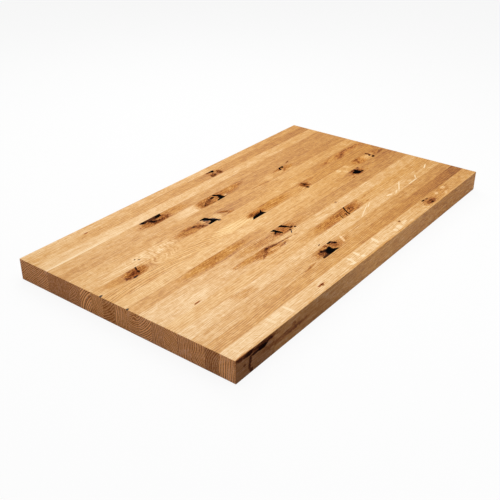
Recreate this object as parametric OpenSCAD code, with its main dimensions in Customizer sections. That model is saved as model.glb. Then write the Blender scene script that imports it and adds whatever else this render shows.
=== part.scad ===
// Butcher block countertop: full-length oak staves glued edge to edge into one slab.
// Open knots and checks in the top are levelled with dark filler, flush with the face.
// Origin: centre of the underside. +X runs along the staves, +Y towards the back edge, +Z up.

/* [Slab] */
// Length of the slab along the staves
length = 1117; // [900:1:1600]
// Thickness of the slab
thickness = 56; // [38:0.5:76]

/* [Staves] */
// Number of staves at full width
full_staves = 17; // [16:1:20]
// Width of a full stave
stave_w = 35.5; // [30:0.1:45]
// Width of the strip along the back edge, ripped from a stave
back_strip_w = 26; // [16:0.1:30]
// Width of the strip along the front edge, ripped from a stave
front_strip_w = 5.5; // [5:0.1:20]

/* [Edges] */
// Radius of the rounding along the lower edges
lower_edge_r = 3; // [1:0.5:5]
// Radius of the rounding along the upper edges
upper_edge_r = 1; // [0.5:0.5:4]
// Radius of the four upright corners
corner_r = 2; // [1:0.5:5]

/* [Filler] */
// Depth of the filler below the top face
filler_depth = 4; // [2:0.5:10]

/* [Colours] */
// Colour of the palest staves
pale_oak = [0.84, 0.68, 0.47];
// Colour of the darkest staves
dark_oak = [0.64, 0.44, 0.26];
// Colour of the filler
filler_colour = [0.06, 0.05, 0.045];

/* [Hidden] */
$fn = 96;
// Overshoot of a cutting shape past the face that it cuts
past = 1;
// Steps that each stretch of a filler's outline is smoothed into
smooth_steps = 3;
depth = back_strip_w + full_staves * stave_w + front_strip_w;
back_joint_y = depth / 2 - back_strip_w;
front_joint_y = back_joint_y - full_staves * stave_w;

// Shade of each full stave from the back, 0 palest and 1 darkest, and of the two strips
SHADES = [0.7, 0.1, 0.7, 0.5, 0.5, 0.3, 0.2, 0.3, 0.2, 0.3, 0.2, 0.2, 0.5, 0.3, 0.5, 1, 0];
back_strip_shade = 0.4;
front_strip_shade = 0.5;

// Filled knots and checks. Each has the stave that it lies in, its place along the slab as a share
// of the length, its place across the stave as a share of the width from the back joint, and its
// outline in mm about that place. Where an outline runs past a joint, the joint cuts it off.
KNOTS = [
    // Notch at the back joint
    [1, 0.586, 0.06, [[-7.5, 3], [-4, 8], [4, 8], [7, 3], [7.5, -2], [5, -7], [0, -10], [-5, -8],
                      [-8, -3]]],
    // Long pocket under the back joint with a branch that runs forward
    [3, 0.297, 0.15, [[-36.5, 3], [-34, 12], [31, 12], [30.5, -2.5], [24.5, -7.5], [16.5, -5], [9, -3.5],
                      [2, -6], [-5, -5], [-6, -9.5], [-1.5, -17], [-4.5, -20], [-10.5, -14], [-16, -6.5],
                      [-21, -1.5], [-29, -3.5], [-34.5, -1.5]]],
    // Crescent round the end of an oval knot
    [4, 0.487, 0.49, [[-12, 15], [-8, 16.5], [-4, 12.5], [-1.5, 8.5], [3, 6], [5.5, 1], [5, -5],
                      [3.5, -11], [2, -19], [-26, -19], [-22, -13.5], [-14, -11], [-8.5, -7.5],
                      [-6.5, -2], [-8.5, 3], [-12.5, 7.5], [-13.5, 12]]],
    // Small split
    [5, 0.715, 0.12, [[-16, -9], [-12, -1.5], [-7, 3.5], [2, 5.5], [9, 5], [13, 3], [10, -1], [4, -5],
                      [0.5, -4], [-0.5, -0.5], [-6, -2], [-11, -7]]],
    // Slanting bar with a foot
    [6, 0.374, 0.44, [[-20, 12], [-14, 17], [-2, 17], [2, 12], [4.5, 3], [8, -6], [13, -12],
                      [16.5, -21], [-17, -21], [-16, -13], [-6, -11], [-3.5, -7], [-7, 0], [-11, 7]]],
    // Wedge along the front joint with an upturned tip
    [8, 0.464, 0.70, [[-31, -13], [-28, -6], [-21, -0.5], [-10, 1.5], [2, 2], [9, 1.5], [15, 6],
                      [21, 10], [22.5, 7.5], [17.5, 1], [19, -5], [20, -13]]],
    // Round knot
    [10, 0.818, 0.40, [[-20, 2], [-12, 5], [-5, 6], [-1, 11], [4, 10], [6, 3], [5, -4], [9, -7],
                       [15, -8.5], [15, -13], [8, -15], [2, -11.5], [-5, -14], [-13, -13.5],
                       [-19, -8], [-21.5, -3]]],
    // Two slanting bars on either side of a knot
    [11, 0.421, 0.28, [[-11, 10], [-4, 12], [2, 10.5], [3.5, 3], [4.5, -6], [5.5, -13], [3.5, -18.5],
                       [-0.5, -17], [-3.5, -10], [-6, -6], [-12, -7.5], [-18, -10], [-16, -6.5],
                       [-10, -3.5], [-6.5, 0], [-8, 4]]],
    [11, 0.448, 0.24, [[-11, 6.5], [-6, 10], [3, 8.5], [5, 2.5], [8.5, -4.5], [7, -10.5], [2.5, -10],
                       [0, -4.5], [-3, 1], [-7, 3.5]]],
    // Thin slanting check
    [13, 0.602, 0.43, [[-14, -23], [-10, -11.5], [-4.5, -2], [1.5, 6], [6.5, 12], [12.5, 16],
                       [14.5, 14.5], [9.5, 9], [4.5, 3.5], [-1, -4], [-6, -12], [-10, -23]]],
    // Broad knot on the front joint with a foot to one side
    [15, 0.423, 0.55, [[-41, -18], [-39, -12], [-34, -9], [-25, -8.5], [-18, -6], [-15, -1.5],
                       [-8, 3.5], [2, 7], [10.5, 8.5], [11.5, 5], [9, -1], [10, -7], [16, -11],
                       [18, -18]]],
    // Its short split at the back joint
    [15, 0.449, 0.14, [[-10.5, 4], [-3.5, 5.5], [4.5, 5], [6, 0.5], [8.5, -5], [11, -9.5], [8, -11.5],
                       [4.5, -7], [1, -1.5], [-4.5, 1], [-9.5, 1.5]]],
];
// Those whose stave is in the slab
FILLED = [for (knot = KNOTS) if (knot[0] <= full_staves) knot];

function numbered(name, i) = str(name, i < 10 ? "0" : "", i);

function oak(shade) = pale_oak + (dark_oak - pale_oak) * shade;
// Back face of full stave i, counted from 1 at the back
function stave_back(i) = back_joint_y - (i - 1) * stave_w;

// A smooth closed curve through hand-placed points
function curve(p0, p1, p2, p3, t) =
    (2 * p1 + (p2 - p0) * t + (2 * p0 - 5 * p1 + 4 * p2 - p3) * t * t
     + (3 * p1 - p0 - 3 * p2 + p3) * t * t * t) / 2;
function smooth(pts) =
    let (n = len(pts))
    [for (i = [0:n - 1], s = [0:smooth_steps - 1])
        curve(pts[(i + n - 1) % n], pts[i], pts[(i + 1) % n], pts[(i + 2) % n], s / smooth_steps)];

// What is cut off a square corner to leave an arc of radius r
module corner_waste(r) {
    difference() {
        translate([-past, -past]) square(r + past);
        translate([r, r]) circle(r);
    }
}

// Upright section of the slab, w wide, with its lower and upper corners rounded
module slab_section(w) {
    difference() {
        translate([-w / 2, 0]) square([w, thickness]);
        for (side = [0, 1]) mirror([side, 0]) {
            translate([-w / 2, 0]) corner_waste(lower_edge_r);
            translate([-w / 2, thickness]) mirror([0, 1]) corner_waste(upper_edge_r);
        }
    }
}

// Plan of the slab with its four rounded corners
module slab_plan() {
    difference() {
        square([length, depth], center = true);
        for (sx = [0, 1], sy = [0, 1]) mirror([sx, 0]) mirror([0, sy])
            translate([-length / 2, -depth / 2]) corner_waste(corner_r);
    }
}

// A full-length piece from its back face at back_y, w wide, with the slab's rounded ends
module blank(back_y, w) {
    translate([0, back_y, 0]) rotate([90, 0, 0]) linear_extrude(w) slab_section(length);
}

// A strip at the slab's edge also carries the rounding of the long edge and two upright corners
module edge_strip(back_y, w) {
    intersection() {
        blank(back_y, w);
        rotate([90, 0, 90]) translate([0, 0, -length / 2 - past])
            linear_extrude(length + 2 * past) slab_section(depth);
        translate([0, 0, -past]) linear_extrude(thickness + 2 * past) slab_plan();
    }
}

// Room that filler k takes below the top face, cut off at its stave's joints
module filler_room(k, above) {
    stave = FILLED[k - 1][0];
    intersection() {
        translate([(FILLED[k - 1][1] - 0.5) * length, stave_back(stave) - FILLED[k - 1][2] * stave_w,
                   thickness - filler_depth])
            linear_extrude(filler_depth + above) polygon(smooth(FILLED[k - 1][3]));
        translate([-length / 2, stave_back(stave) - stave_w, 0])
            cube([length, stave_w, thickness + above]);
    }
}

module back_strip() {
    color(oak(back_strip_shade)) edge_strip(depth / 2, back_strip_w);
}

module front_strip() {
    color(oak(front_strip_shade)) edge_strip(front_joint_y, front_strip_w);
}

module stave(i) {
    color(oak(SHADES[(i - 1) % len(SHADES)])) difference() {
        blank(stave_back(i), stave_w);
        for (k = [1:len(FILLED)]) if (FILLED[k - 1][0] == i) filler_room(k, past);
    }
}

module knot_filler(k) {
    color(filler_colour) filler_room(k, 0);
}

back_strip();
for (i = [1:full_staves]) stave(i);
front_strip();
for (k = [1:len(FILLED)]) knot_filler(k);
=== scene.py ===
"""Dresses the butcher block countertop: oak with growth rings, knots and flecks in every stave,
dull dark filler in the open knots, and a pale studio floor with soft light.
"""

import math
from typing import NamedTuple

import bpy
from mathutils import Matrix, Vector


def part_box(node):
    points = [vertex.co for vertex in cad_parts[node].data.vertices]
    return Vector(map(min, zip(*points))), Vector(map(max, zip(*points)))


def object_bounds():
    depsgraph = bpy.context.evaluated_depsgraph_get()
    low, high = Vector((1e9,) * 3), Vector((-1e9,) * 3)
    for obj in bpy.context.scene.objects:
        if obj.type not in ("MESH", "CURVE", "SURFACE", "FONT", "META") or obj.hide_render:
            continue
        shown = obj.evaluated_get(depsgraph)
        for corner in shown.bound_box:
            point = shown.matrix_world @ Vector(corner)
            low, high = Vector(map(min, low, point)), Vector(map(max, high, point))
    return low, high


bl_info = {
    "name": "Butcher Block Countertop",
    "version": (1, 0, 0),
    "blender": (4, 5, 0),
    "location": "View3D > Sidebar > Countertop",
    "description": "Oak, filler and studio for an edge-glued oak countertop",
    "category": "Material",
}

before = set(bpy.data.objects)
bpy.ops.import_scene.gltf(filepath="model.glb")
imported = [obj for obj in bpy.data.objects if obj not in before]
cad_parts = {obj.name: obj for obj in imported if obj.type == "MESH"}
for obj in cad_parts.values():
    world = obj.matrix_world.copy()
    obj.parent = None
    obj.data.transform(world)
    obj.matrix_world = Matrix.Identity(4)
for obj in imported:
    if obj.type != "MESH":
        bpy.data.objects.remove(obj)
CAD_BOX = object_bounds()
SLAB_LOW, SLAB_HIGH = CAD_BOX
METRES_TO_MM = 1000.0


class Mark(NamedTuple):
    """A figure in the wood, an oval in a stave. Sizes and places are in millimetres, turns in degrees.

    along is from the near-left end, across from the stave's back joint, below from the top face. A mark
    below the top shows on the long side of the front strip, and on the ends of the others."""

    kind: str
    along: float
    across: float
    half_length: float
    half_width: float
    turn: float = 0.0
    strength: float = 1.0
    below: float = 0.0
    half_depth: float = 9.0


class Stave(NamedTuple):
    """How one stave looks.

    shades are (place along the slab from 0 to 1, shade from 0 pale to 1 dark). They are partly the wood's
    own
    tone and partly painted light: most staves run paler towards the near-left end, a painted sheen there.
    pith_across and pith_below say where the tree's middle lay from the stave's own middle, in mm, towards
    the back and downwards. ring is the width of a year's growth in mm, contrast how far the rings stand
    out, and flecks how pale the ray flecks are. bow bends the rings into an arch with its top at bow_at,
    in mm from the near-left end. end_rings is how bright the rings are in the end grain. warmth is how far
    the wood takes on the warm tint."""

    tone_and_painted_light: tuple
    pith_across: float
    pith_below: float
    ring: float = 3.2
    contrast: float = 1.0
    flecks: float = 0.0
    bow: float = 0.0
    bow_at: float = 0.0
    end_rings: float = 0.6
    warmth: float = 0.0
    marks: tuple = ()


# Shade stops run paler towards the near-left end on most staves: partly the wood's tone, partly painted
# sheen and brighter light
STAVES = {
    "back_strip": Stave(
        tone_and_painted_light=((0, 0.22), (0.27, 0.35), (0.5, 0.42), (0.56, 0.25), (0.6, 0.5), (1, 0.62)),
        pith_across=110, pith_below=-110, ring=4.0, end_rings=1.0,
    ),
    "stave_01": Stave(
        tone_and_painted_light=((0, 0.35), (0.27, 0.5), (0.45, 0.6), (0.63, 0.7), (1, 0.8)),
        pith_across=-110, pith_below=110, ring=4.0, end_rings=1.0, warmth=0.2,
        marks=(
            Mark("red", 178, 3, 7, 2.2, strength=0.7),
            Mark("tan", 220, 15, 22, 1.6, strength=0.6),
            Mark("halo", 655, 17, 30, 17, strength=0.55),
            Mark("brown", 639, 25, 13, 8, 25),
            Mark("brown", 668, 22, 9, 12, -30),
            Mark("brown", 645, 4, 15, 4),
        ),
    ),
    "stave_02": Stave(
        tone_and_painted_light=((0, 0.2), (0.3, 0.22), (0.5, 0.3), (0.7, 0.38), (1, 0.48)),
        pith_across=110, pith_below=-110, ring=4.2, end_rings=1.1,
        marks=(
            Mark("pale", 89, 32, 120, 5, strength=0.9),
            Mark("fleck", 65, 33, 90, 3, strength=0.5),
            Mark("pale", 238, 27, 90, 8, strength=0.5),
        ),
    ),
    "stave_03": Stave(
        tone_and_painted_light=((0, 0.42), (0.2, 0.42), (0.34, 0.6), (0.45, 0.57), (0.7, 0.63), (1, 0.75)),
        pith_across=160, pith_below=20, ring=3.4, end_rings=0.4,
        marks=(
            Mark("tan", 395, 15, 62, 18, strength=0.7),
            Mark("halo", 330, 20, 52, 20, strength=0.95),
            Mark("dark", 324, 15, 12, 16, 25, strength=0.7),
            Mark("black", 346, 5, 17, 8),
            Mark("black", 304, 4, 13, 7),
            Mark("brown", 334, 29, 20, 6, 8),
            Mark("brown", 362, 23, 14, 9, 20, strength=0.75),
        ),
    ),
    "stave_04": Stave(
        tone_and_painted_light=((0, 0.58), (0.27, 0.48), (0.4, 0.34), (0.46, 0.7), (0.63, 0.7), (1, 0.7)),
        pith_across=-150, pith_below=60, ring=3.6, end_rings=0.4,
        marks=(
            Mark("fleck", 447, 22, 16, 9, 35, strength=0.6),
            Mark("pale", 420, 18, 42, 16, strength=0.5),
            Mark("tan", 591, 12, 50, 14, strength=0.9),
            Mark("halo", 632, 9, 22, 9, strength=0.6),
            Mark("halo", 590, 25, 30, 8, 8, strength=0.6),
            Mark("halo", 507, 18, 58, 24, 6),
            Mark("brown", 494, 21, 26, 7, 22, strength=0.7),
            Mark("black", 520, 12, 8, 4, 10),
            Mark("black", 540, 27, 9, 9),
            Mark("pale", 557, 27, 6, 4, 20, strength=0.5),
            Mark("brown", 552, 32, 5, 2, strength=0.8),
            Mark("brown", 846, 29, 10, 2.6, 12, strength=0.8),
        ),
    ),
    "stave_05": Stave(
        tone_and_painted_light=((0, 0.35), (0.27, 0.55), (0.45, 0.57), (0.63, 0.62), (1, 0.75)),
        pith_across=90, pith_below=-80, ring=3.8, end_rings=0.5, warmth=0.3,
        marks=(
            Mark("halo", 662, 29, 36, 1.8, -4, strength=0.7),
            Mark("pale", 724, 15, 24, 13, 20, strength=0.3),
            Mark("halo", 793, 8, 34, 6, strength=0.8),
            Mark("dark", 789, 10, 5, 3.4, 50),
            Mark("brown", 796, 20, 12, 3.4, 25, strength=0.8),
            Mark("tan", 818, 16, 26, 9, 10, strength=0.8),
        ),
    ),
    "stave_06": Stave(
        tone_and_painted_light=((0, 0.32), (0.2, 0.22), (0.28, 0.5), (0.45, 0.78), (0.55, 0.62), (0.66, 0.45), (1, 0.52)),
        pith_across=-66, pith_below=38, ring=5.2, contrast=0.7, end_rings=1.9, warmth=0.2,
        marks=(
            Mark("dark", 158, 11, 2.6, 1.8, 40),
            Mark("dark", 164, 19, 2.8, 1.8, -40),
            Mark("ripple", 213, 19, 75, 22, strength=0.55),
            Mark("halo", 345, 18, 52, 17, strength=0.75),
            Mark("brown", 373, 22, 22, 8, -34, strength=0.8),
            Mark("brown", 346, 9, 18, 6, -14, strength=0.45),
            Mark("dark", 404, 22, 8, 12, 20, strength=0.4),
            Mark("fleck", 397, 15, 3, 6, 25, strength=0.4),
            Mark("black", 412, 8, 9, 11, 20),
            Mark("black", 424, 25, 8, 13, 28),
            Mark("pale", 446, 20, 12, 15, strength=0.5),
            Mark("halo", 476, 18, 17, 5, -37),
            Mark("brown", 475, 19, 16, 3, -37, strength=0.45),
            Mark("halo", 486, 32, 14, 2.4),
        ),
    ),
    "stave_07": Stave(
        tone_and_painted_light=((0, 0.35), (0.1, 0.5), (0.2, 0.42), (0.45, 0.48), (0.63, 0.45), (0.78, 0.65), (1, 0.78)),
        pith_across=-38, pith_below=-20, ring=4.6, contrast=0.5, end_rings=1.2, warmth=0.5,
        marks=(
            Mark("black", 2, 29, 6, 3, half_depth=3),
            Mark("tan", 71, 15, 44, 14, strength=0.5),
            Mark("halo", 118, 17, 38, 17, strength=0.85),
            Mark("brown", 110, 18, 27, 14, 20, strength=0.4),
            Mark("red", 116, 20, 19, 8, 35, strength=0.45),
            Mark("brown", 108, 17, 15, 3, 22, strength=0.9),
            Mark("brown", 90, 25, 9, 6, -15, strength=0.8),
            Mark("dark", 131, 6, 9, 2.4, 60),
            Mark("black", 106, 31, 8, 2.4, 10),
            Mark("dark", 126, 19, 3, 6, -15),
            Mark("ripple", 203, 18, 70, 20, strength=0.45),
            Mark("black", 432, 2, 5, 4),
            Mark("tan", 981, 18, 120, 14, strength=0.6),
            Mark("halo", 915, 16, 24, 3, 12, strength=0.7),
            Mark("halo", 985, 20, 34, 12, 14, strength=0.7),
            Mark("halo", 1030, 14, 56, 9, -2, strength=0.6),
            Mark("brown", 975, 26, 22, 5, 18, strength=0.5),
            Mark("brown", 1000, 18, 20, 6, 16, strength=0.5),
            Mark("brown", 1020, 9, 18, 3, 8, strength=0.5),
            Mark("halo", 1070, 16, 40, 5, -4, strength=0.7),
        ),
    ),
    "stave_08": Stave(
        tone_and_painted_light=((0, 0.52), (0.27, 0.42), (0.42, 0.42), (0.48, 0.55), (0.63, 0.6), (1, 0.72)),
        pith_across=60, pith_below=-70, ring=6.0, contrast=1.1,
        bow=-86, bow_at=110, end_rings=0.4, warmth=0.9,
        marks=(
            Mark("rings", 170, 18, 230, 60),
            Mark("pale", 425, 17, 60, 18, strength=0.8),
            Mark("halo", 519, 18, 34, 12, strength=0.9),
            Mark("brown", 518, 19, 26, 7, strength=0.85),
            Mark("tan", 592, 16, 74, 18, strength=0.75),
            Mark("halo", 742, 18, 18, 15, strength=0.8),
            Mark("brown", 742, 18, 12, 13),
            Mark("dark", 735, 32, 6, 3.5),
            Mark("halo", 774, 8, 26, 7, strength=0.4),
            Mark("dark", 744, 16, 3, 10, -10),
        ),
    ),
    "stave_09": Stave(
        tone_and_painted_light=((0, 0.25), (0.3, 0.3), (0.6, 0.4), (0.8, 0.45), (0.88, 0.68), (1, 0.82)),
        pith_across=-120, pith_below=10, ring=4.4, end_rings=1.2, warmth=0.5,
        marks=(
            Mark("dark", 735, 0, 6, 2.4),
            Mark("fleck", 880, 8, 9, 8, strength=0.28),
            Mark("fleck", 890, 26, 7, 9, strength=0.28),
            Mark("fleck", 920, 8, 8, 8, strength=0.25),
            Mark("tan", 985, 14, 40, 19, strength=0.9),
            Mark("halo", 984, 16, 30, 20, strength=0.4),
            Mark("brown", 984, 6, 18, 3, -6, strength=0.7),
            Mark("brown", 974, 18, 14, 4, 50, strength=0.6),
            Mark("pale", 1022, 18, 18, 16, strength=0.4),
            Mark("halo", 1072, 16, 26, 13, strength=0.6),
            Mark("brown", 1090, 26, 16, 4, 8, strength=0.6),
            Mark("brown", 1045, 8, 5, 11),
            Mark("dark", 1041, 18, 7, 3.4, 25),
            Mark("dark", 1041, 31, 8, 4.4, 20),
            Mark("fleck", 1056, 16, 7, 7, strength=0.25),
        ),
    ),
    "stave_10": Stave(
        tone_and_painted_light=(
            (0, 0.5), (0.15, 0.55), (0.26, 0.7), (0.36, 0.65),
            (0.42, 0.46), (0.63, 0.5), (0.85, 0.7), (1, 0.85),
        ),
        pith_across=4, pith_below=-42, ring=4.2, contrast=0.5, end_rings=1.1, warmth=0.3,
        marks=(
            Mark("black", 0, 3, 6, 3, half_depth=3),
            Mark("brown", 0, 22, 5, 7, below=7, half_depth=9, strength=0.35),
            Mark("tan", 272, 14, 120, 16, strength=0.9),
            Mark("ripple", 262, 17, 90, 20, strength=0.45),
            Mark("tan", 252, 25, 22, 9, 30, strength=0.6),
            Mark("brown", 934, 4, 6, 4, 20, strength=0.6),
            Mark("halo", 909, 17, 30, 16, strength=0.85),
            Mark("brown", 908, 14, 19, 16, strength=0.85),
            Mark("halo", 870, 30, 6, 3, strength=0.8),
            Mark("halo", 948, 29, 5, 2.4, 30, strength=0.8),
        ),
    ),
    "stave_11": Stave(
        tone_and_painted_light=((0, 0.22), (0.3, 0.42), (0.45, 0.55), (0.63, 0.65), (1, 0.75)),
        pith_across=60, pith_below=-60, ring=4.4, end_rings=1.4,
        marks=(
            Mark("tan", 366, 15, 60, 14, strength=0.6),
            Mark("halo", 425, 22, 44, 14, strength=0.45),
            Mark("tan", 536, 17, 50, 15, strength=0.5),
            Mark("halo", 488, 18, 44, 17, strength=0.85),
            Mark("brown", 463, 19, 12, 8, strength=0.8),
            Mark("red", 486, 17, 13, 14, -40, strength=0.25),
            Mark("black", 502, 13, 3.6, 16, 36),
            Mark("dark", 512, 26, 8, 3, 15),
            Mark("dark", 498, 33, 4, 3),
            Mark("dark", 519, 33, 4, 3),
        ),
    ),
    "stave_12": Stave(
        tone_and_painted_light=((0, 0.22), (0.25, 0.35), (0.45, 0.36), (0.63, 0.3), (1, 0.45)),
        pith_across=160, pith_below=10, ring=4.2, contrast=1.0, flecks=0.25, end_rings=0.9,
        marks=(
            Mark("pale", 128, 14, 36, 10, strength=0.5),
            Mark("red", 109, 30, 9, 1.8),
            Mark("halo", 280, 4, 20, 3.4, 4, strength=0.7),
            Mark("tan", 335, 9, 66, 12, strength=0.9),
            Mark("halo", 376, 19, 52, 16, strength=0.8),
            Mark("pale", 398, 23, 17, 7, strength=0.4),
            Mark("brown", 383, 10, 14, 5, 10, strength=0.9),
            Mark("brown", 408, 12, 20, 3.4, -8, strength=0.8),
            Mark("brown", 363, 21, 24, 3.4, 26, strength=0.8),
            Mark("brown", 428, 26, 14, 4, 12, strength=0.5),
            Mark("brown", 437, 15, 44, 2.4, -4, strength=0.7),
            Mark("halo", 440, 22, 14, 2.4, -4, strength=0.7),
            Mark("black", 492, 5, 9, 1.4, 40),
            Mark("grey", 699, 4, 4.5, 3),
            Mark("pale", 605, 22, 20, 8, strength=0.5),
        ),
    ),
    "stave_13": Stave(
        tone_and_painted_light=((0, 0.3), (0.27, 0.36), (0.42, 0.44), (0.5, 0.64), (0.63, 0.74), (0.7, 0.45), (1, 0.52)),
        pith_across=95, pith_below=90, ring=4.4, end_rings=1.2, warmth=0.4,
        marks=(
            Mark("tan", 615, 18, 105, 16, strength=0.85),
            Mark("halo", 596, 22, 44, 14, 14, strength=0.5),
            Mark("halo", 686, 17, 44, 20, strength=0.9),
            Mark("dark", 637, 24, 13, 1.3, 57),
            Mark("brown", 643, 24, 12, 0.9, 57),
            Mark("dark", 655, 28, 8, 1.6, 55),
            Mark("brown", 694, 16, 16, 7, 10, strength=0.6),
            Mark("halo", 736, 9, 6, 3, strength=0.8),
            Mark("halo", 771, 10, 12, 2, strength=0.7),
            Mark("halo", 760, 30, 6, 2, strength=0.7),
        ),
    ),
    "stave_14": Stave(
        tone_and_painted_light=((0, 0.2), (0.3, 0.3), (0.6, 0.26), (1, 0.5)),
        pith_across=170, pith_below=0, ring=4.4, contrast=1.0, flecks=0.35, end_rings=1.0,
        marks=(
            Mark("tan", 178, 4, 14, 4, strength=0.5),
            Mark("tan", 198, 17, 34, 14, strength=0.45),
            Mark("dark", 474, 26, 5, 1.4, 15),
            Mark("fleck", 701, 19, 38, 1.1, 20),
            Mark("fleck", 739, 10, 15, 1.3, 22, strength=0.8),
            Mark("fleck", 826, 24, 12, 3, -14, strength=0.8),
            Mark("fleck", 856, 29, 12, 2, 20, strength=0.6),
            Mark("fleck", 894, 17, 30, 1.8, 28, strength=0.8),
            Mark("fleck", 949, 32, 26, 1.6),
            Mark("fleck", 981, 22, 12, 1.6, 30),
            Mark("fleck", 1064, 11, 16, 1.8, 20),
        ),
    ),
    "stave_15": Stave(
        tone_and_painted_light=((0, 0.38), (0.3, 0.46), (0.45, 0.5), (0.8, 0.6), (1, 0.7)),
        pith_across=-60, pith_below=-20, ring=4.6, end_rings=1.2,
        marks=(
            Mark("tan", 522, 22, 40, 10, strength=0.6),
            Mark("halo", 376, 32, 26, 3, 8, strength=0.7),
            Mark("halo", 471, 19, 52, 18, strength=0.85),
            Mark("brown", 446, 20, 14, 10, 15, strength=0.9),
            Mark("dark", 451, 14, 6, 5),
            Mark("black", 462, 23, 9, 11),
            Mark("dark", 437, 32, 9, 3.5),
            Mark("brown", 478, 4, 5, 6),
            Mark("brown", 500, 14, 12, 10, -30, strength=0.4),
            Mark("black", 499, 3, 9, 3.5),
            Mark("dark", 509, 13, 4, 5, -30),
            Mark("fleck", 537, 16, 4, 16, -35, strength=0.5),
        ),
    ),
    "stave_16": Stave(
        tone_and_painted_light=((0, 0.52), (0.3, 0.58), (0.45, 0.56), (0.63, 0.68), (0.85, 0.88), (1, 1.05)),
        pith_across=-52, pith_below=6, ring=4.2, contrast=1.3, end_rings=0.3, warmth=0.5,
        marks=(
            Mark("stain", 0, 20, 6, 40, below=28, half_depth=150, strength=0.2),
        ),
    ),
    "stave_17": Stave(
        tone_and_painted_light=((0, 0.1), (0.3, 0.22), (0.6, 0.24), (0.76, 0.45), (0.85, 0.6), (1, 0.55)),
        pith_across=170, pith_below=0, ring=4.6, contrast=1.0, flecks=0.5, end_rings=1.5,
        marks=(
            Mark("fleck", 26, 23, 3, 9, strength=0.4),
            Mark("fleck", 149, 16, 4, 14, -6, strength=0.4),
            Mark("fleck", 168, 12, 14, 8, strength=0.4),
            Mark("fleck", 205, 18, 4, 15, strength=0.6),
            Mark("red", 327, 20, 12, 2.2),
            Mark("brown", 329, 22, 4, 4, strength=0.7),
            Mark("fleck", 458, 18, 4, 14, -12, strength=0.85),
            Mark("fleck", 448, 28, 10, 3.4, -15),
            Mark("fleck", 492, 12, 4, 10, -10, strength=0.85),
            Mark("fleck", 494, 28, 6, 4),
            Mark("fleck", 577, 12, 5, 13, -20, strength=0.85),
            Mark("fleck", 655, 27, 7, 6, strength=0.7),
            Mark("fleck", 677, 25, 10, 7, 10, strength=0.75),
            Mark("fleck", 708, 23, 11, 5, strength=0.5),
            Mark("brown", 702, 12, 4.5, 2.6),
            Mark("tan", 912, 18, 66, 17, strength=0.6),
            Mark("halo", 859, 20, 30, 13, strength=0.7),
            Mark("brown", 860, 24, 18, 8),
            Mark("dark", 849, 6, 7, 3),
            Mark("dark", 865, 8, 6, 2, -10),
            Mark("dark", 859, 28, 8, 3),
            Mark("fleck", 914, 13, 9, 5, 25, strength=0.35),
            Mark("fleck", 958, 11, 12, 6, 10, strength=0.35),
            Mark("fleck", 938, 30, 9, 3.4, 20, strength=0.35),
        ),
    ),
    "front_strip": Stave(
        tone_and_painted_light=((0, 0.3), (0.12, 0.35), (0.3, 0.34), (0.45, 0.52), (0.65, 0.45), (1, 0.5)),
        pith_across=30, pith_below=-60, ring=3.2, contrast=0.6,
        marks=(
            Mark("stain", 558, 5, 2000, 60, strength=0.3, below=28, half_depth=150),
            Mark("stain", 0, 5, 480, 60, strength=0.78, below=28, half_depth=150),
            Mark("tan", 558, 5, 2000, 60, strength=0.5, below=28, half_depth=150),
            Mark("tan", 1117, 5, 400, 60, strength=0.65, below=28, half_depth=150),
            Mark("stain", 0, 5, 170, 60, below=28, half_depth=150),
            Mark("dark", 40, 5, 15, 6, below=4, half_depth=8),
            Mark("brown", 14, 6, 20, 6, below=2, half_depth=5, strength=0.65),
            Mark("brown", 22, 5, 26, 2.4, strength=0.8),
            Mark("brown", 90, 6, 44, 6, below=7, half_depth=6),
            Mark("dark", 62, 6, 14, 6, below=15, half_depth=3),
            Mark("black", 85, 6, 17, 6, below=14, half_depth=5.5),
            Mark("dark", 46, 6, 4, 6, below=22, half_depth=10, strength=0.65),
            Mark("dark", 43, 6, 4, 6, below=36, half_depth=12, strength=0.65),
            Mark("dark", 49, 6, 5, 6, below=49, half_depth=6, strength=0.65),
            Mark("brown", 27, 6, 4, 6, below=25, half_depth=3.4, strength=0.75),
            Mark("brown", 165, 6, 75, 6, below=29, half_depth=6, strength=0.55),
            Mark("brown", 192, 6, 7, 6, below=18, half_depth=3.6, strength=0.6),
        ),
    ),
}
FILLERS = sorted(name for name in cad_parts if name.startswith("knot_filler"))
# Brown wood that shows through the filler; across is here from the slab's back edge
BARE_WOOD = (
    Mark("brown", 326, 101, 17, 6, strength=0.9),
    Mark("brown", 441, 553, 12, 5, strength=0.6),
)


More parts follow.
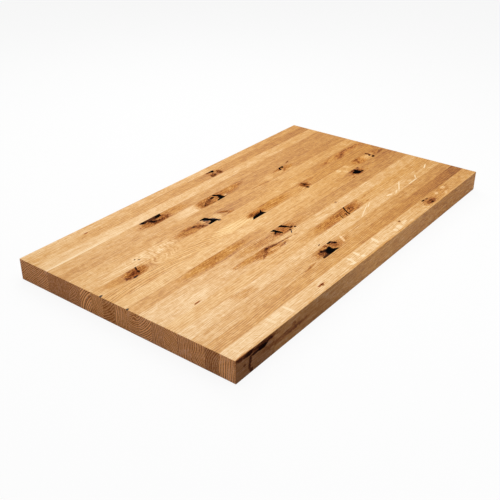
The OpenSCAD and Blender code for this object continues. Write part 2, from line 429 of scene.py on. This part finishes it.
class OakLook(bpy.types.PropertyGroup):
    """Colours and finish of the oak and its filler."""

    cream: bpy.props.FloatVectorProperty(
        name="Cream oak", description="Colour of the ray flecks", subtype="COLOR", size=3, min=0, max=1,
        default=(0.90, 0.71, 0.45),
    )
    pale: bpy.props.FloatVectorProperty(
        name="Pale oak", description="Colour of the palest wood", subtype="COLOR", size=3, min=0, max=1,
        default=(0.85, 0.59, 0.32),
    )
    middle: bpy.props.FloatVectorProperty(
        name="Middling oak", description="Colour between the palest and the darkest", subtype="COLOR",
        size=3, min=0, max=1, default=(0.645, 0.33, 0.09),
    )
    dark: bpy.props.FloatVectorProperty(
        name="Dark oak", description="Colour of the darkest plain wood", subtype="COLOR", size=3,
        min=0, max=1, default=(0.38, 0.143, 0.040),
    )
    brown: bpy.props.FloatVectorProperty(
        name="Brown", description="Colour of the knots' brown wood", subtype="COLOR", size=3, min=0, max=1,
        default=(0.10, 0.033, 0.014),
    )
    red: bpy.props.FloatVectorProperty(
        name="Red", description="Share of its colour that the reddest wood keeps", subtype="COLOR", size=3,
        min=0, max=1, default=(0.92, 0.55, 0.50),
    )
    warm: bpy.props.FloatVectorProperty(
        name="Warm", description="Share of its colour that the warmest stave keeps", subtype="COLOR",
        size=3, min=0, max=1, default=(1.0, 0.95, 0.75),
    )
    end_tint: bpy.props.FloatVectorProperty(
        name="End grain tint", description="Share of its colour that the darker end grain keeps",
        subtype="COLOR", size=3, min=0, max=1, default=(0.70, 0.56, 0.69),
    )
    end_line: bpy.props.FloatVectorProperty(
        name="End grain rings", description="Colour of the bright rings in the end grain", subtype="COLOR",
        size=3, min=0, max=1, default=(0.95, 0.46, 0.18),
    )
    stain: bpy.props.FloatVectorProperty(
        name="Stained side", description="Share of its colour that stained wood keeps", subtype="COLOR",
        size=3, min=0, max=1, default=(0.325, 0.285, 0.40),
    )
    roughness: bpy.props.FloatProperty(
        name="Roughness", description="Roughness of the oiled wood", subtype="FACTOR", min=0, max=1,
        default=0.42,
    )
    gloss: bpy.props.FloatProperty(
        name="Gloss", description="Strength of the wood's sheen, 0.5 being a plain varnish",
        subtype="FACTOR", min=0, max=1, default=0.2,
    )
    filler: bpy.props.FloatVectorProperty(
        name="Filler", description="Colour of the dark filler", subtype="COLOR", size=3, min=0, max=1,
        default=(0.002, 0.0018, 0.0018),
    )


class StudioLook(bpy.types.PropertyGroup):
    """Camera, floor and lights."""

    lens: bpy.props.FloatProperty(
        name="Lens", description="Focal length on a 36 mm sensor", subtype="DISTANCE_CAMERA",
        min=20, max=200, default=55.5,
    )
    eye: bpy.props.FloatVectorProperty(
        name="Eye", description="Place of the camera", subtype="XYZ", unit="LENGTH", size=3,
        default=(-1.4612, -1.0369, 0.9421),
    )
    aim: bpy.props.FloatVectorProperty(
        name="Aim", description="Point in the middle of the picture", subtype="XYZ", unit="LENGTH", size=3,
        default=(-0.2030, -0.0800, 0.0560),
    )
    roll: bpy.props.FloatProperty(
        name="Roll", description="Turn of the camera about its own axis", subtype="ANGLE",
        default=math.radians(-0.11),
    )
    sky: bpy.props.FloatProperty(
        name="Sky", description="Strength of the even white light from all round", min=0, max=2,
        default=0.26,
    )
    overhead: bpy.props.FloatProperty(
        name="Overhead light", description="Power of the large light above the slab", subtype="POWER",
        min=0, max=500, default=34,
    )
    sheen: bpy.props.FloatProperty(
        name="Sheen light", description="Power of the soft light beyond the slab, mirrored in its near end",
        subtype="POWER", min=0, max=500, default=19,
    )
    fill: bpy.props.FloatProperty(
        name="Fill light", description="Power of the soft light before the slab's long side",
        subtype="POWER", min=0, max=500, default=10.6,
    )


class Graph:
    """Short ways to add shader nodes to one node tree."""

    def __init__(self, tree):
        self.tree = tree

    def add(self, kind, inputs=(), **settings):
        node = self.tree.nodes.new(kind)
        for name, value in settings.items():
            setattr(node, name, value)
        for key, value in dict(inputs).items():
            self.feed(node.inputs[key], value)
        return node

    def feed(self, socket, value):
        if isinstance(value, bpy.types.NodeSocket):
            self.tree.links.new(value, socket)
        else:
            socket.default_value = value

    def math(self, operation, a, b=0.0, c=0.0):
        return self.add("ShaderNodeMath", {0: a, 1: b, 2: c}, operation=operation).outputs[0]

    def vector(self, operation, a, b):
        return self.add("ShaderNodeVectorMath", {0: a, 1: b}, operation=operation).outputs[0]

    def split(self, vector):
        return self.add("ShaderNodeSeparateXYZ", {0: vector}).outputs

    def join(self, x, y, z):
        return self.add("ShaderNodeCombineXYZ", {0: x, 1: y, 2: z}).outputs[0]

    def length(self, vector):
        node = self.add("ShaderNodeVectorMath", {0: vector}, operation="LENGTH")
        return node.outputs["Value"]

    def turned(self, vector, angle):
        """A place turned about the upright axis."""
        return self.add("ShaderNodeMapping", {"Vector": vector, "Rotation": (0, 0, angle)}).outputs[0]

    def noise(self, vector, detail, roughness=0.5):
        """Noise from 0 to 1, with patches about one unit across."""
        inputs = {"Vector": vector, "Scale": 1.0, "Detail": detail, "Roughness": roughness}
        return self.add("ShaderNodeTexNoise", inputs).outputs["Fac"]

    def grain(self, place, grain):
        """Noise from 0 to 1, drawn out along the grain."""
        drawn_out = self.vector("MULTIPLY", place, tuple(1 / size for size in grain.size))
        return self.noise(drawn_out, grain.detail, grain.roughness)

    def swing(self, place, grain):
        """The same noise about 0, times its amount."""
        return self.math("MULTIPLY", self.math("SUBTRACT", self.grain(place, grain), 0.5), grain.amount)

    def step(self, value, low, high, to_low=0.0, to_high=1.0):
        """Smooth change from to_low to to_high while value goes from low to high."""
        inputs = {"Value": value, "From Min": low, "From Max": high, "To Min": to_low, "To Max": to_high}
        return self.add("ShaderNodeMapRange", inputs, interpolation_type="SMOOTHSTEP").outputs["Result"]

    def blend(self, factor, a, b):
        """Number between a and b."""
        inputs = {0: factor, 2: a, 3: b}
        return self.add("ShaderNodeMix", inputs, data_type="FLOAT", clamp_factor=True).outputs[0]

    def mix(self, factor, a, b, blend="MIX"):
        """Colour between a and b."""
        inputs = {0: factor, 6: a, 7: b}
        settings = {"data_type": "RGBA", "blend_type": blend, "clamp_factor": True}
        return self.add("ShaderNodeMix", inputs, **settings).outputs[2]

    def tint(self, factor, colour, share):
        """Keeps only a share of the colour where factor is 1."""
        return self.mix(factor, colour, self.mix(1.0, colour, opaque(share), "MULTIPLY"))

    def surface(self, colour, roughness, gloss, bump):
        """Ends a material in one shader."""
        relief = self.add("ShaderNodeBump", bump).outputs[0]
        shader = self.add(
            "ShaderNodeBsdfPrincipled",
            {"Base Color": colour, "Roughness": roughness, "Specular IOR Level": gloss, "Normal": relief},
        )
        self.add("ShaderNodeOutputMaterial", {"Surface": shader.outputs[0]})


def opaque(colour):
    return (*colour, 1.0)


def paint_ramp(ramp, stops):
    """Gives a colour ramp its stops: (position, colour)."""
    elements = ramp.elements
    while len(elements) > 1:
        elements.remove(elements[-1])
    for index, (position, colour) in enumerate(stops):
        element = elements[0] if index == 0 else elements.new(position)
        element.position = position
        element.color = opaque(colour)


def add_sockets(tree, inputs, outputs):
    """Gives a node group its sockets: inputs as {name: default}, outputs as {name: kind}."""
    for name, default in inputs.items():
        kind = "NodeSocketVector" if isinstance(default, tuple) else "NodeSocketFloat"
        socket = tree.interface.new_socket(name, in_out="INPUT", socket_type=kind)
        socket.default_value = default
    for name, kind in outputs.items():
        tree.interface.new_socket(name, in_out="OUTPUT", socket_type=kind)


class Grain(NamedTuple):
    """Noise drawn out along the grain.

    size is how long, wide and deep its patches are, in mm, and amount how far it shifts what it is added
    to. detail and roughness are those of the noise."""

    size: tuple
    amount: float = 1.0
    detail: float = 1.0
    roughness: float = 0.5


SWAY = Grain((240, 70, 70), 16.0, 2.0)
FIBRES = Grain((22, 0.9, 0.9), 1.12, 3.0, 0.6)
STREAKS = Grain((40, 2.3, 2.3), 1.2, 3.0, 0.6)
BANDS = Grain((160, 7, 7), 0.24, 2.0)
CLOUDS = Grain((90, 22, 22), 0.3, 3.0, 0.55)
PORES = Grain((5.5, 0.32, 0.32), 0.25)
RAY_FLECKS = Grain((16, 2.4, 8), -0.7)
FLECK_PATCHES = Grain((80, 25, 25))
RIPPLE_BENDS = Grain((70, 22, 22), 45.0)
RIPPLES = Grain((7, 16, 16), 2.0)
RAGGED_RIMS = Grain((9, 4, 4), 2.0, 3.0, 0.6)
MOTTLE = Grain((10, 4.2, 4.2), 3.0, 3.0, 0.7)
FILLER_CLOUDS = Grain((4, 4, 4), 1.0, 3.0, 0.6)
FILLER_RIMS = Grain((10 / 3, 10 / 3, 10 / 3), 2.0, 3.0, 0.6)
FILLER_GRIT = Grain((1.25, 1.25, 1.25), 1.0, 2.0)

# Steps along the noise between one stave and the next, so that no two staves are alike
SEED_STEP = 977.0
# Share of a year's growth over which the dark early wood starts and ends, and the pale line likewise
EARLY_START = (0.0, 0.07)
EARLY_END = (0.5, 0.12)
LINE_START = (0.5, 0.75)
LINE_END = (1.0, 0.92)
# How far the width of the rings varies, and over how many mm across them
RING_VARIATION = 1.3
RING_VARIATION_LENGTH = 11.0
# A bow is how far in mm the rings bend over this length from its top; past the reach they bend no more
BOW_LENGTH = 400.0
BOW_REACH = 300.0
# Noise values between which pores, flecks and patches of flecks set in
PORE_EDGE = (0.60, 0.72)
FLECK_EDGE = (0.56, 0.68)
PATCH_EDGE = (0.42, 0.62)
# Turns of the ray flecks and of the mottle against the grain
FLECK_SLANT = math.radians(38)
MOTTLE_SLANT = math.radians(-25)
# Share of the pores that late wood has
LATE_PORES = 0.2
# How much darker early wood is, and its mean share, which is taken off so that the rings leave the mean
# shade alone
EARLY_SHADE = 0.25
EARLY_MEAN = 0.25
# How far a face has to look along an axis to count a little, and to count fully, as a side or an end
SIDE_FACE = (0.35, 0.85)
# Ripples that all the wood has
PLAIN_RIPPLES = 0.2
# How far round a figure the rings are pushed aside, in halves of its size, and how much more they stand
# out there
PUSH_REACH = 1.9
PUSH_CONTRAST = 0.8
# How far the places of the shades wander along the slab, as a share of its length
SHADE_WANDER = 0.012
# End grain: how even its shade is, that shade, how much livelier its grain is, how strong its rings are,
# and how much rougher it is
END_EVENNESS = 0.7
END_SHADE = 0.55
END_LIVELINESS = 0.8
END_RING_SHARE = 0.68
END_ROUGHNESS = 0.2
# Grain inside a figure, against plain wood, and the mottle above which a figure is dull
FIGURE_GRAIN = 1.2
DULL_MOTTLE = 0.2
# Place of shade 0 in the row of tones, and the step for each whole shade
TONE_START = 0.2
TONE_STEP = 0.4
# Cover of a dull figure at which the wood has no sheen left
SHEENLESS = 0.9
# Roughness that the relief of fibres and pores adds, how strong the relief is, and its height in metres
GRAIN_ROUGHNESS = 0.08
GRAIN_BUMP = 0.25
RELIEF_HEIGHT = 0.0003
# Filler: the noise values between which its lighter clouds set in, how much lighter they are, its
# roughness, what the clouds add to that, and how strong its relief is
CLOUD_EDGE = (0.4, 0.75)
CLOUD_LIGHTNESS = 1.6
FILLER_ROUGHNESS = 0.25
CLOUD_ROUGHNESS = 0.2
FILLER_BUMP = 0.1


def grain_group():
    """Solid oak: growth rings round a pith, fibres, pores and ray flecks, all in millimetres.

    Shade is what the grain adds to a stave's own shade, Rings the pale lines between two years, Ripple
    the waves, and Height the relief."""
    tree = bpy.data.node_groups.new("oak_grain", "ShaderNodeTree")
    add_sockets(
        tree,
        {"Place": (0.0, 0.0, 0.0), "Pith": (0.0, 0.0, 0.0), "Seed": 0.0, "Ring": 3.2, "Contrast": 1.0,
         "Flecks": 0.0, "Bow": 0.0, "Bow at": 0.0, "Lift": 0.0},
        {"Shade": "NodeSocketFloat", "Rings": "NodeSocketFloat", "Ripple": "NodeSocketFloat",
         "Height": "NodeSocketFloat"},
    )
    g = Graph(tree)
    given = g.add("NodeGroupInput").outputs
    place = given["Place"]
    seeded = g.vector("ADD", place, g.join(g.math("MULTIPLY", given["Seed"], SEED_STEP), 0.0, 0.0))
    x, y, z = g.split(seeded)

    # The rings wander along the stave, and a bow bends them into an arch
    sway = g.swing(seeded, SWAY)
    place_x = g.split(place)[0]
    from_top = g.math("ABSOLUTE", g.math("SUBTRACT", place_x, given["Bow at"]))
    from_top = g.math("MINIMUM", from_top, BOW_REACH)
    arch = g.math("MULTIPLY", g.math("POWER", g.math("DIVIDE", from_top, BOW_LENGTH), 2.0), given["Bow"])
    radius = g.length(g.vector("SUBTRACT", g.join(0.0, y, z), given["Pith"]))
    for shift in (sway, arch, given["Lift"]):
        radius = g.math("ADD", radius, shift)
    uneven = g.noise(g.join(0.0, g.math("DIVIDE", radius, RING_VARIATION_LENGTH), given["Seed"]), 1.0)
    years = g.math("DIVIDE", radius, given["Ring"])
    turn = g.math("FRACT", g.math("ADD", years, g.math("MULTIPLY", uneven, RING_VARIATION)))
    # Early wood is a dark band that ends sharply; late wood pales slowly towards the next ring
    early = g.math("MULTIPLY", g.step(turn, *EARLY_START), g.step(turn, *EARLY_END))
    line = g.math("MULTIPLY", g.step(turn, *LINE_START), g.step(turn, *LINE_END))

    # Pores are short dark dashes, most of them in the early wood
    pores = g.step(g.grain(seeded, PORES), *PORE_EDGE)
    pores = g.math("MULTIPLY", pores, g.math("MULTIPLY_ADD", early, 1.0 - LATE_PORES, LATE_PORES))

    # Ray flecks are pale dashes that lie across the grain, in patches
    skewed = g.turned(seeded, FLECK_SLANT)
    fleck_patch = g.step(g.grain(seeded, FLECK_PATCHES), *PATCH_EDGE)
    flecks = g.math("MULTIPLY", g.step(g.grain(skewed, RAY_FLECKS), *FLECK_EDGE), fleck_patch)
    flecks = g.math("MULTIPLY", flecks, given["Flecks"])

    # Ripples are short waves across the grain
    bent_x = g.math("MULTIPLY_ADD", g.grain(seeded, RIPPLE_BENDS), RIPPLE_BENDS.amount, x)
    ripple = g.swing(g.join(bent_x, y, z), RIPPLES)

    shade = g.math("MULTIPLY", g.math("SUBTRACT", early, EARLY_MEAN), EARLY_SHADE)
    shade = g.math("MULTIPLY", shade, given["Contrast"])
    fibres = g.grain(seeded, FIBRES)
    shade = g.math("MULTIPLY_ADD", g.math("SUBTRACT", fibres, 0.5), FIBRES.amount, shade)
    for part in (STREAKS, BANDS, CLOUDS):
        shade = g.math("MULTIPLY_ADD", g.math("SUBTRACT", g.grain(seeded, part), 0.5), part.amount, shade)
    shade = g.math("MULTIPLY_ADD", pores, PORES.amount, shade)
    shade = g.math("MULTIPLY_ADD", flecks, RAY_FLECKS.amount, shade)
    height = g.math("MULTIPLY_ADD", pores, -1.0, g.math("MULTIPLY", fibres, 0.5))
    g.add("NodeGroupOutput", {"Shade": shade, "Rings": line, "Ripple": ripple, "Height": height})
    return tree


class Figure(NamedTuple):
    """A kind of mark.

    shade is what the wood turns to: -0.5 cream, 0 palest, 0.5 middling, 1 darkest plain wood, 1.5 brown,
    2 black. soft is how wide its rim is and ragged how far noise breaks the rim, as shares of its size.
    push is how far the growth rings are pushed aside, in mm. mottle is how far its shade varies inside,
    and a figure with more of it than DULL_MOTTLE has no sheen. redness tints it."""

    shade: float
    soft: float
    ragged: float
    push: float = 0.0
    mottle: float = 0.0
    redness: float = 0.0


FIGURES = {
    "tan": Figure(0.72, 0.9, 0.4, 0.0, 0.5, 0.1),
    "halo": Figure(0.93, 0.7, 0.5, 6.0, 0.55, 0.2),
    "brown": Figure(1.4, 0.8, 0.6, 7.0, 0.65, 0.2),
    "dark": Figure(1.8, 0.5, 0.5, 4.0, 0.3),
    "black": Figure(2.0, 0.3, 0.35),
    "red": Figure(1.15, 0.7, 0.5, 3.0, 0.5, 0.9),
    "grey": Figure(1.1, 0.5, 0.4),
    "fleck": Figure(-0.45, 0.5, 0.4),
    "pale": Figure(-0.05, 0.9, 0.4),
}
# Marks that change something other than the shade
SHAPERS = {"ripple": Figure(0.0, 0.9, 0.4), "rings": Figure(0.0, 0.9, 0.0), "stain": Figure(0.0, 0.9, 0.2)}


def mark_mask(g, place, ragged_noise, mark, figure, centre):
    """Mask of one oval mark, 1 inside and 0 outside, with its rim broken by noise."""
    mapping = g.add(
        "ShaderNodeMapping",
        {"Vector": place, "Location": centre, "Rotation": (0, 0, math.radians(mark.turn)),
         "Scale": (mark.half_length, mark.half_width, mark.half_depth)},
        vector_type="TEXTURE",
    )
    distance = g.math("MULTIPLY_ADD", ragged_noise, figure.ragged, g.length(mapping.outputs[0]))
    return g.step(distance, 1.0 + figure.soft / 2, 1.0 - figure.soft / 2), distance


def new_material(name):
    """An empty material and its graph."""
    material = bpy.data.materials.new(name)
    material.use_nodes = True
    material.node_tree.nodes.clear()
    return material, Graph(material.node_tree)


def oak_material(name, stave, look, grain_tree, seed):
    """One stave's oak, with its own rings and marks, and a shade along it that is partly painted light."""
    material, g = new_material(f"oak_{name}")
    low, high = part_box(name)
    middle = (low + high) / 2
    point = g.add("ShaderNodeTexCoord").outputs["Object"]
    from_middle = g.vector("SUBTRACT", point, tuple(middle))
    place = g.vector("MULTIPLY", from_middle, (METRES_TO_MM,) * 3)
    ragged_noise = g.swing(place, RAGGED_RIMS)
    mottle_noise = g.swing(g.turned(place, MOTTLE_SLANT), MOTTLE)
    facing = g.split(g.add("ShaderNodeNewGeometry").outputs["True Normal"])
    end = g.step(g.math("ABSOLUTE", facing[0]), *SIDE_FACE)
    long_side = g.step(g.math("ABSOLUTE", facing[1]), *SIDE_FACE)
    flank = long_side if name == "front_strip" else end
    size = (high - low) * METRES_TO_MM

    covers = []
    stain = 0.0
    ripples = PLAIN_RIPPLES
    contrast = stave.contrast
    lift = 0.0
    for mark in stave.marks:
        figure = FIGURES.get(mark.kind) or SHAPERS[mark.kind]
        centre = (mark.along - size.x / 2, size.y / 2 - mark.across, size.z / 2 - mark.below)
        mask, distance = mark_mask(g, place, ragged_noise, mark, figure, centre)
        if mark.below:
            mask = g.math("MULTIPLY", mask, flank)
        if mark.kind == "stain":
            stain = g.math("MAXIMUM", stain, g.math("MULTIPLY", mask, mark.strength))
        elif mark.kind == "ripple":
            ripples = g.math("MULTIPLY_ADD", mask, mark.strength, ripples)
        elif mark.kind == "rings":
            contrast = g.math("MULTIPLY_ADD", mask, mark.strength, contrast)
        else:
            covers.append((figure, g.math("MULTIPLY", mask, mark.strength)))
        if figure.push:
            near = g.step(distance, PUSH_REACH, 0.0)
            lift = g.math("MULTIPLY_ADD", near, figure.push, lift)
            contrast = g.math("MULTIPLY_ADD", near, PUSH_CONTRAST * mark.strength, contrast)

    grain = g.add("ShaderNodeGroup", node_tree=grain_tree)
    for key, value in (
        ("Place", place), ("Pith", (0.0, stave.pith_across, -stave.pith_below)), ("Seed", seed),
        ("Ring", stave.ring), ("Contrast", contrast), ("Flecks", stave.flecks),
        ("Bow", stave.bow), ("Bow at", stave.bow_at - size.x / 2), ("Lift", lift),
    ):
        g.feed(grain.inputs[key], value)

    along = g.math("DIVIDE", g.math("ADD", g.split(place)[0], size.x / 2), size.x)
    along = g.math("MULTIPLY_ADD", ragged_noise, SHADE_WANDER, along)
    # Shade along the stave: partly its own tone, partly painted light that makes the near-left end paler
    ramp = g.add("ShaderNodeValToRGB", {"Fac": along})
    paint_ramp(ramp.color_ramp, [(at, (shade,) * 3) for at, shade in stave.tone_and_painted_light])
    ramp.color_ramp.interpolation = "EASE"
    shade = g.blend(g.math("MULTIPLY", end, END_EVENNESS), ramp.outputs["Color"], END_SHADE)
    liveliness = g.math("MULTIPLY_ADD", end, END_LIVELINESS, 1.0)
    shade = g.math("MULTIPLY_ADD", grain.outputs["Shade"], liveliness, shade)
    shade = g.math("MULTIPLY_ADD", grain.outputs["Ripple"], ripples, shade)
    redness = 0.0
    dullness = 0.0
    for figure, cover in covers:
        if figure.mottle > DULL_MOTTLE:
            dullness = g.math("MAXIMUM", dullness, cover)
        grained = g.math("MULTIPLY_ADD", grain.outputs["Shade"], FIGURE_GRAIN, figure.shade)
        grained = g.math("MULTIPLY_ADD", mottle_noise, figure.mottle, grained)
        shade = g.blend(cover, shade, grained)
        if figure.redness:
            redness = g.math("MULTIPLY_ADD", cover, figure.redness, redness)

    tones = g.add("ShaderNodeValToRGB", {"Fac": g.math("MULTIPLY_ADD", shade, TONE_STEP, TONE_START)})
    steps = (look.cream, look.pale, look.middle, look.dark, look.brown, look.filler)
    paint_ramp(tones.color_ramp, [(index / (len(steps) - 1), tone) for index, tone in enumerate(steps)])
    warm = [1.0 - stave.warmth * (1.0 - share) for share in look.warm]
    colour = g.tint(1.0, tones.outputs["Color"], warm)
    if stave.marks:
        colour = g.tint(redness, colour, look.red)
    if stain:
        colour = g.tint(stain, colour, look.stain)
        dullness = g.math("MAXIMUM", dullness, stain)
    gloss = g.step(g.math("MAXIMUM", dullness, end), SHEENLESS, 0.0, 0.0, look.gloss)

    # End grain drinks the oil and turns darker and dull, with its rings plain to see
    end_tone = g.tint(1.0, colour, look.end_tint)
    ring_strength = g.math("MULTIPLY", grain.outputs["Rings"], stave.end_rings * END_RING_SHARE)
    end_tone = g.mix(ring_strength, end_tone, opaque(look.end_line))
    colour = g.mix(end, colour, end_tone)

    roughness = g.math("MULTIPLY_ADD", grain.outputs["Height"], GRAIN_ROUGHNESS, look.roughness)
    roughness = g.math("MULTIPLY_ADD", end, END_ROUGHNESS, roughness)
    bump = {"Height": grain.outputs["Height"], "Strength": GRAIN_BUMP, "Distance": RELIEF_HEIGHT}
    g.surface(colour, roughness, gloss, bump)
    return material


def filler_material(look):
    """Dark filler, sanded flush: nearly black and dull, with brown wood showing through in places."""
    material, g = new_material("dark_filler")
    point = g.add("ShaderNodeTexCoord").outputs["Object"]
    place = g.vector("MULTIPLY", point, (METRES_TO_MM,) * 3)
    cloud = g.grain(place, FILLER_CLOUDS)
    lighter = [CLOUD_LIGHTNESS * share for share in look.filler]
    colour = g.mix(g.step(cloud, *CLOUD_EDGE), opaque(look.filler), opaque(lighter))
    ragged_noise = g.swing(place, FILLER_RIMS)
    corner = (SLAB_LOW.x * METRES_TO_MM, SLAB_HIGH.y * METRES_TO_MM, SLAB_HIGH.z * METRES_TO_MM)
    for mark in BARE_WOOD:
        centre = (corner[0] + mark.along, corner[1] - mark.across, corner[2])
        mask, _ = mark_mask(g, place, ragged_noise, mark, FIGURES[mark.kind], centre)
        colour = g.mix(g.math("MULTIPLY", mask, mark.strength), colour, opaque(look.brown))
    roughness = g.math("MULTIPLY_ADD", cloud, CLOUD_ROUGHNESS, FILLER_ROUGHNESS)
    bump = {"Height": g.grain(place, FILLER_GRIT), "Strength": FILLER_BUMP, "Distance": RELIEF_HEIGHT}
    g.surface(colour, roughness, 0.0, bump)
    return material


def dress(name, material):
    """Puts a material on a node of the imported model."""
    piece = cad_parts[name]
    piece.data.materials.clear()
    piece.data.materials.append(material)


class COUNTERTOP_OT_dress_staves(bpy.types.Operator):
    """Give every stave and strip its own oak"""

    bl_idname = "countertop.dress_staves"
    bl_label = "Dress the staves"

    def execute(self, context):
        look = context.scene.oak_look
        grain_tree = grain_group()
        for seed, (name, stave) in enumerate(STAVES.items()):
            dress(name, oak_material(name, stave, look, grain_tree, seed))
        return {"FINISHED"}


class COUNTERTOP_OT_dress_fillers(bpy.types.Operator):
    """Give the filled knots and checks their dark filler"""

    bl_idname = "countertop.dress_fillers"
    bl_label = "Dress the knot fillers"

    def execute(self, context):
        material = filler_material(context.scene.oak_look)
        for name in FILLERS:
            dress(name, material)
        return {"FINISHED"}


class SoftLight(NamedTuple):
    """A rectangular light: its place, the point it faces, and its size, in metres."""

    place: tuple
    aim: tuple
    width: float
    depth: float


# Named as their powers are in StudioLook
SOFT_LIGHTS = {
    "overhead": SoftLight((-0.1, -0.2, 2.1), (0, 0, 0), 2.2, 1.6),
    "sheen": SoftLight((0.90, 1.15, 1.60), (-0.2, 0, 0), 1.2, 1.0),
    "fill": SoftLight((0.5, -2.4, 0.7), (0, -0.3, 0), 1.6, 1.0),
}
# Half the side of the floor in metres, its colour, and how much of the camera's view of it is plain white
FLOOR_REACH = 12.0
FLOOR_COLOUR = (0.8, 0.8, 0.8)
FLOOR_GLOW = 0.9
WHITE = (1.0, 1.0, 1.0)


def add_camera(look):
    eye = Vector(look.eye)
    aim = Vector(look.aim)
    data = bpy.data.cameras.new("camera")
    data.lens = look.lens
    camera = bpy.data.objects.new("camera", data)
    bpy.context.scene.collection.objects.link(camera)
    level = (aim - eye).to_track_quat("-Z", "Y").to_matrix()
    turned = level @ Matrix.Rotation(-look.roll, 3, "Z")
    camera.matrix_world = Matrix.Translation(eye) @ turned.to_4x4()
    bpy.context.scene.camera = camera


def add_floor():
    """Puts up the floor, which is nearly white to the camera and pale matte paint to the light."""
    mesh = bpy.data.meshes.new("floor")
    corners = [(x * FLOOR_REACH, y * FLOOR_REACH, 0) for x, y in ((-1, -1), (1, -1), (1, 1), (-1, 1))]
    mesh.from_pydata(corners, [], [(0, 1, 2, 3)])
    floor = bpy.data.objects.new("floor", mesh)
    bpy.context.scene.collection.objects.link(floor)
    material, g = new_material("pale_floor")
    matte = g.add("ShaderNodeBsdfDiffuse", {"Color": opaque(FLOOR_COLOUR)}).outputs[0]
    glow = g.add("ShaderNodeEmission", {"Color": opaque(WHITE), "Strength": 1.0}).outputs[0]
    seen = g.add("ShaderNodeMixShader", {0: FLOOR_GLOW, 1: matte, 2: glow}).outputs[0]
    camera_ray = g.add("ShaderNodeLightPath").outputs["Is Camera Ray"]
    mixed = g.add("ShaderNodeMixShader", {0: camera_ray, 1: matte, 2: seen}).outputs[0]
    g.add("ShaderNodeOutputMaterial", {"Surface": mixed})
    mesh.materials.append(material)


def add_world(look):
    world = bpy.data.worlds.new("studio")
    world.use_nodes = True
    bpy.context.scene.world = world
    tree = world.node_tree
    tree.nodes.clear()
    g = Graph(tree)
    camera_ray = g.add("ShaderNodeLightPath").outputs["Is Camera Ray"]
    strength = g.math("MULTIPLY_ADD", camera_ray, 1.0 - look.sky, look.sky)
    background = g.add("ShaderNodeBackground", {"Color": opaque(WHITE), "Strength": strength})
    g.add("ShaderNodeOutputWorld", {"Surface": background.outputs[0]})


def add_soft_light(name, light, power):
    data = bpy.data.lights.new(name, "AREA")
    data.shape = "RECTANGLE"
    data.size = light.width
    data.size_y = light.depth
    data.energy = power
    lamp = bpy.data.objects.new(name, data)
    bpy.context.scene.collection.objects.link(lamp)
    lamp.location = light.place
    lamp.rotation_mode = "QUATERNION"
    lamp.rotation_quaternion = (Vector(light.aim) - Vector(light.place)).to_track_quat("-Z", "Y")


class COUNTERTOP_OT_set_studio(bpy.types.Operator):
    """Put up the camera, the pale floor and the soft light"""

    bl_idname = "countertop.set_studio"
    bl_label = "Set up the studio"

    def execute(self, context):
        look = context.scene.studio_look
        add_camera(look)
        add_floor()
        add_world(look)
        for name, light in SOFT_LIGHTS.items():
            add_soft_light(name, light, getattr(look, name))
        context.scene.view_settings.view_transform = "Standard"
        return {"FINISHED"}


class COUNTERTOP_PT_panel(bpy.types.Panel):
    """Countertop steps and their settings"""

    bl_idname = "COUNTERTOP_PT_panel"
    bl_label = "Countertop"
    bl_space_type = "VIEW_3D"
    bl_region_type = "UI"
    bl_category = "Countertop"

    def draw(self, context):
        layout = self.layout
        for group in (context.scene.oak_look, context.scene.studio_look):
            for name in group.__annotations__:
                layout.prop(group, name)
        for operator in OPERATORS:
            layout.operator(operator.bl_idname)


OPERATORS = (COUNTERTOP_OT_set_studio, COUNTERTOP_OT_dress_staves, COUNTERTOP_OT_dress_fillers)
CLASSES = (OakLook, StudioLook, *OPERATORS, COUNTERTOP_PT_panel)


def register():
    for cls in CLASSES:
        bpy.utils.register_class(cls)
    bpy.types.Scene.oak_look = bpy.props.PointerProperty(type=OakLook)
    bpy.types.Scene.studio_look = bpy.props.PointerProperty(type=StudioLook)


def unregister():
    del bpy.types.Scene.studio_look
    del bpy.types.Scene.oak_look
    for cls in reversed(CLASSES):
        bpy.utils.unregister_class(cls)


def main():
    register()
    bpy.ops.countertop.set_studio()
    bpy.ops.countertop.dress_staves()
    bpy.ops.countertop.dress_fillers()


if __name__ == "__main__":
    main()
